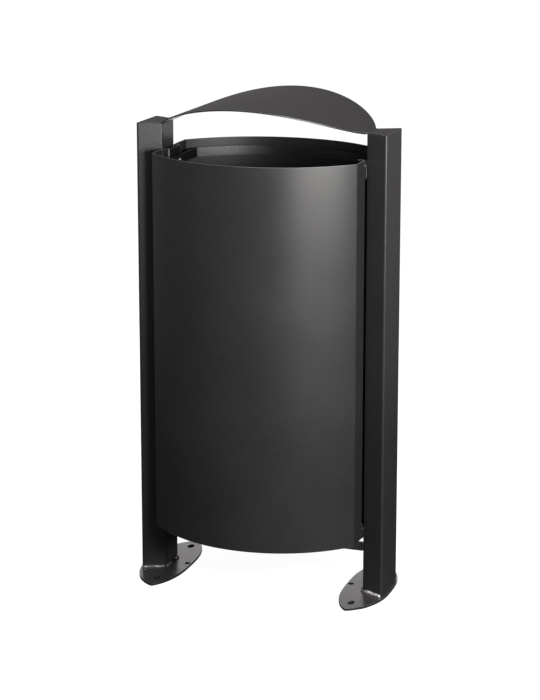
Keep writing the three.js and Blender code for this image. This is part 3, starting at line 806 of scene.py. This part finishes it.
def make_strike_pin():
    start, end = -POST_IN + SEAM, CAM_X + CAM_T + 3
    length = end - start
    outline = [(0, 0), (STRIKE_R, 0), (STRIKE_R, length - 1), (STRIKE_R - 1, length), (0, length)]
    pin = aimed(lathe(outline), (start, LOCK.x + CAM_REACH, LOCK.y), (1, 0, 0))
    piece("strike_rod", pin, "lock_strike_pin", ZINC, 0)


def make_lock():
    face = -SHELL_X - SEAM
    make_lock_housing(face)
    make_lock_spindle(face + 1.3)
    make_lock_cam()
    make_strike_pin()


def make_bumpers():
    height = DOOR_LIP_Y - LEG - 2 * SEAM
    pad = [(0, 0), (6, 0), (6, height * 0.4), (5.4, height * 0.8), (4, height), (0, height)]
    for level, z in LEVELS.items():
        bm = aimed(lathe(pad), (-SCREW_X, -LEG - SEAM, z), (0, -1, 0))
        piece(f"rubber_stop_{level}", bm, f"door_bumper_{level}", RUBBER, 0)


# ---- welds ----
def bead(name, points, radius, seed, coat):
    """A weld bead along a line of points: a lumpy, rippled rod that its joint half buries."""
    rng = random.Random(seed)
    bm = bmesh.new()
    ends = [Vector(p) for p in points]
    length = sum((b - a).length for a, b in zip(ends, ends[1:]))
    count = max(8, int(length / 0.9))
    phase, ripple = rng.uniform(0, 6), rng.uniform(3.0, 3.8)
    lumps = [rng.uniform(0.82, 1.2) for _ in range(count // 6 + 3)]
    rings = []
    for i in range(count + 1):
        s = length * i / count
        at, direction = along(ends, s)
        k, t = divmod(i / 6, 1)
        size = lumps[int(k)] * (1 - t) + lumps[int(k) + 1] * t
        size *= 1 + 0.09 * math.sin(math.tau * s / ripple + phase)
        size *= math.sqrt(max(0.05, 1 - (1 - min(1, s / radius, (length - s) / radius)) ** 2))
        turn = direction.to_track_quat("Z", "Y")
        rings.append([
            bm.verts.new(at + turn @ Vector((math.cos(a), math.sin(a), 0)) * radius * size)
            for a in (math.tau * j / 12 for j in range(12))
        ])
    for low, high in zip(rings, rings[1:]):
        for j in range(12):
            bm.faces.new((low[j], low[(j + 1) % 12], high[(j + 1) % 12], high[j]))
    for ring in (rings[0], rings[-1]):
        bm.faces.new(ring)
    piece(name, bm, None, coat, 0)


def along(points, distance):
    """The place and direction at a distance along a line of points."""
    for a, b in zip(points, points[1:]):
        step = (b - a).length
        if distance <= step or b is points[-1]:
            return a.lerp(b, min(1, distance / step)), (b - a).normalized()
        distance -= step


def make_welds():
    foot = PLATE_T + 1.2
    inner, outer = POST_IN - 0.5, POST_IN + POST_W - 3
    for side, sign in SIDES.items():
        for face, y in (("front", -1), ("rear", 1)):
            start = (sign * (POST_IN + 3), y * (POST_HALF_IN + 2), foot)
            line = [start, (sign * outer, y * (POST_HALF_OUT - 1), foot)]
            bead(f"foot_weld_{face}_{side}", line, 4.8, 11 * sign + y, WELD_COAT)
            line = [(sign * inner, y * (POST_HALF_IN - back), foot) for back in (1, 17)]
            bead(f"foot_stitch_{face}_{side}", line, 5.0, 17 * sign + y, WELD_COAT)
        x = sign * (POST_IN - 0.8)
        line = [(x, RAIL_FRONT - 0.5, z) for z in (RAIL_Z0 + 1, RAIL_Z1 - 1)]
        bead(f"rail_weld_{side}", line, 1.6, sign + 5, FRAME_COAT)
        for level, height in LEVELS.items():
            for face, y in (("front", -LEG + 0.5), ("rear", LEG - 0.5)):
                line = [(x, y, height - 10), (x, y, height + 10)]
                seed = int(height) + sign + int(y)
                bead(f"bracket_weld_{level}_{face}_{side}", line, 1.3, seed, FRAME_COAT)


# ---- stage ----
SHADE_X, SHADE_HALF_X, SHADE_HALF_Y = 232, 48.5, 127  # the shaded ellipses under the plates


def make_camera():
    azimuth, distance, height = math.radians(19.05), 4.249, 1.638
    heading, pitch = azimuth - math.radians(0.057), math.radians(11.89)
    camera = bpy.data.objects.new("camera", bpy.data.cameras.new("camera"))
    bpy.context.scene.collection.objects.link(camera)
    camera.location = (distance * math.sin(azimuth), -distance * math.cos(azimuth), height)
    ahead = math.cos(pitch)
    forward = Vector((-math.sin(heading) * ahead, math.cos(heading) * ahead, -math.sin(pitch)))
    camera.rotation_euler = forward.to_track_quat("-Z", "Y").to_euler()
    camera.data.lens, camera.data.sensor_width, camera.data.shift_y = 105.0, 36.0, -0.15
    camera.data.clip_end = 60.0
    bpy.context.scene.camera = camera


def area_light(name, azimuth, elevation, distance, size, power, target=(0, 0, 0.55), colour=(1, 1, 1)):
    light = bpy.data.lights.new(name, "AREA")
    light.shape, light.size, light.size_y, light.energy, light.color = "RECTANGLE", *size, power, colour
    obj = bpy.data.objects.new(name, light)
    bpy.context.scene.collection.objects.link(obj)
    a, e = math.radians(azimuth), math.radians(elevation)
    aim = Vector(target)
    way = Vector((math.sin(a) * math.cos(e), -math.cos(a) * math.cos(e), math.sin(e)))
    obj.location = aim + distance * way
    obj.rotation_euler = (aim - obj.location).to_track_quat("-Z", "Y").to_euler()
    obj.visible_camera = False


def camera_switch(graph, lit, seen):
    """One shader for light that falls on the object, and another for what the camera sees directly."""
    path = graph.add("ShaderNodeLightPath").outputs["Is Camera Ray"]
    return graph.add("ShaderNodeMixShader", {0: path, 1: lit.outputs[0], 2: seen.outputs[0]}).outputs[0]


def make_world():
    """White to the camera. As a light it is dim, and a little brighter overhead and at the front left."""
    world = bpy.data.worlds.new("studio")
    bpy.context.scene.world = world
    world.use_nodes = True
    graph = Graph(world.node_tree)
    direction = graph.add("ShaderNodeTexCoord").outputs["Generated"]
    axes = graph.add("ShaderNodeSeparateXYZ", {0: direction}).outputs
    overhead = graph.ranged(axes["Z"], 0.22, 0.34, 0.0, 0.9)
    across = graph.math("ADD", axes["X"], graph.math("MULTIPLY", axes["Y"], 0.6))
    level = graph.math("ADD", overhead, graph.ranged(across, 0.27, -0.06, -1.0, 0.6))
    lit = graph.add("ShaderNodeBackground", {"Color": (1.04, 0.97, 0.99, 1), "Strength": level})
    seen = graph.add("ShaderNodeBackground", {"Color": (1, 1, 1, 1), "Strength": 1.0})
    graph.add("ShaderNodeOutputWorld", {"Surface": camera_switch(graph, lit, seen)})


def under_plates(graph, place):
    """Less than 1 on the two ellipses of floor that the plates shade."""
    axes = graph.add("ShaderNodeSeparateXYZ", {0: place}).outputs
    side = graph.math("SUBTRACT", graph.math("ABSOLUTE", axes["X"], 0.0), SHADE_X * MM)
    across = graph.math("DIVIDE", side, SHADE_HALF_X * MM)
    scaled = {"X": across, "Y": graph.math("DIVIDE", axes["Y"], SHADE_HALF_Y * MM)}
    ellipse = graph.add("ShaderNodeCombineXYZ", scaled).outputs[0]
    return graph.add("ShaderNodeVectorMath", {0: ellipse}, operation="LENGTH").outputs["Value"]


def make_floor():
    """A pale floor: white to the camera, and darker in reflections, most of all near the object."""
    bm = bmesh.new()
    bmesh.ops.create_circle(bm, cap_ends=True, segments=64, radius=30.0)
    floor = temporary(bm)
    floor.name = "studio_floor"
    floor.location.z = -0.0004
    material, graph = new_graph("studio_floor")
    place = graph.add("ShaderNodeTexCoord").outputs["Object"]
    distance = graph.add("ShaderNodeVectorMath", {0: place}, operation="LENGTH").outputs["Value"]
    lit = graph.add("ShaderNodeBsdfDiffuse", {"Color": graph.ranged(distance, 0.03, 0.5, 1.2, 5.5)})
    shade = under_plates(graph, place)
    pale = graph.add("ShaderNodeBsdfDiffuse", {"Color": graph.ranged(shade, 0.01, 0.3, 1.0, 1.02)})
    glow = graph.add("ShaderNodeEmission", {"Strength": graph.ranged(shade, 0.01, 0.93, 1.0, 1.02)})
    seen = graph.add("ShaderNodeAddShader", {0: pale.outputs[0], 1: glow.outputs[0]})
    graph.add("ShaderNodeOutputMaterial", {"Surface": camera_switch(graph, lit, seen)})
    floor.data.materials.append(material)


def make_stage():
    make_camera()
    make_world()
    make_floor()
    area_light("key", 50.2, 4, 1.75, (1.4, 0.5), 56, (0, 0, 0.95), (1.0, 0.99, 0.97))
    area_light("top_strip", 30, 62, 2.0, (1.2, 0.4), 14, (0, 0, 1.0))
    area_light("low_card", 180, 0, 2.0, (1.8, 0.8), 9.5, (-0.55, 0, 0.42), (1.0, 0.98, 0.96))
    bpy.context.scene.view_settings.view_transform = "Standard"


make_stage()
for side, sign in SIDES.items():
    make_post(side, sign)
    make_plate(side, sign)
    for level, z in LEVELS.items():
        make_bracket(side, sign, level, z)
make_hat()
make_front_shell()
make_rear_shell()
make_rail()
make_bottom_plate()
make_ring()
make_ring_pivots()
make_fasteners()
make_hinges()
make_lock()
make_bumpers()
make_welds()
